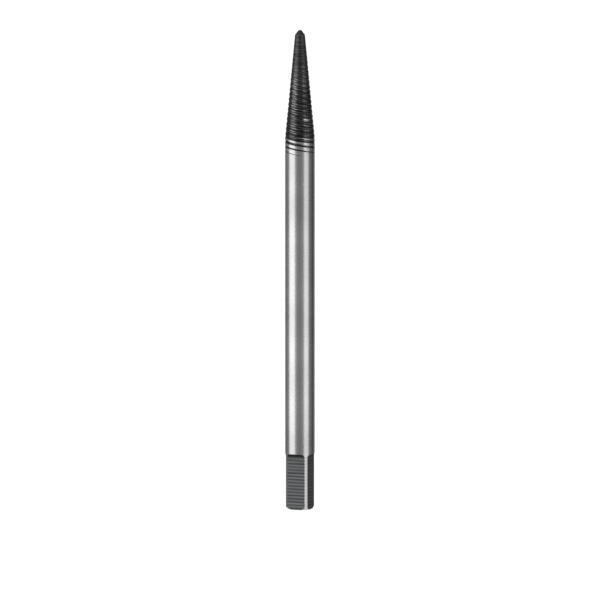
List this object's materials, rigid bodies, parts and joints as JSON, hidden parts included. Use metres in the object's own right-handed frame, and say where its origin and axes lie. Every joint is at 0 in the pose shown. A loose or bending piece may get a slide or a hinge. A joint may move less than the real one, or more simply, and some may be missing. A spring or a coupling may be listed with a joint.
{
  "type": "screw extractor",
  "caption": "Straight screw extractor with a tapered left-hand spiral thread, a ground round shank and a square drive end.",
  "frame": {"origin": "middle of the square drive's flat end face, which is the lowest face", "axes": "+Z runs along the axis from the square to the point, and +X and +Y are square to the flats"},
  "size_m": [0.0032, 0.0032, 0.052],
  "materials": {
    "tool_steel": "fine ground shank, black oxide in the thread and on the square's flats"
  },
  "bodies": {
    "root": {"screw_extractor": "tool_steel"}
  },
  "joints": []
}
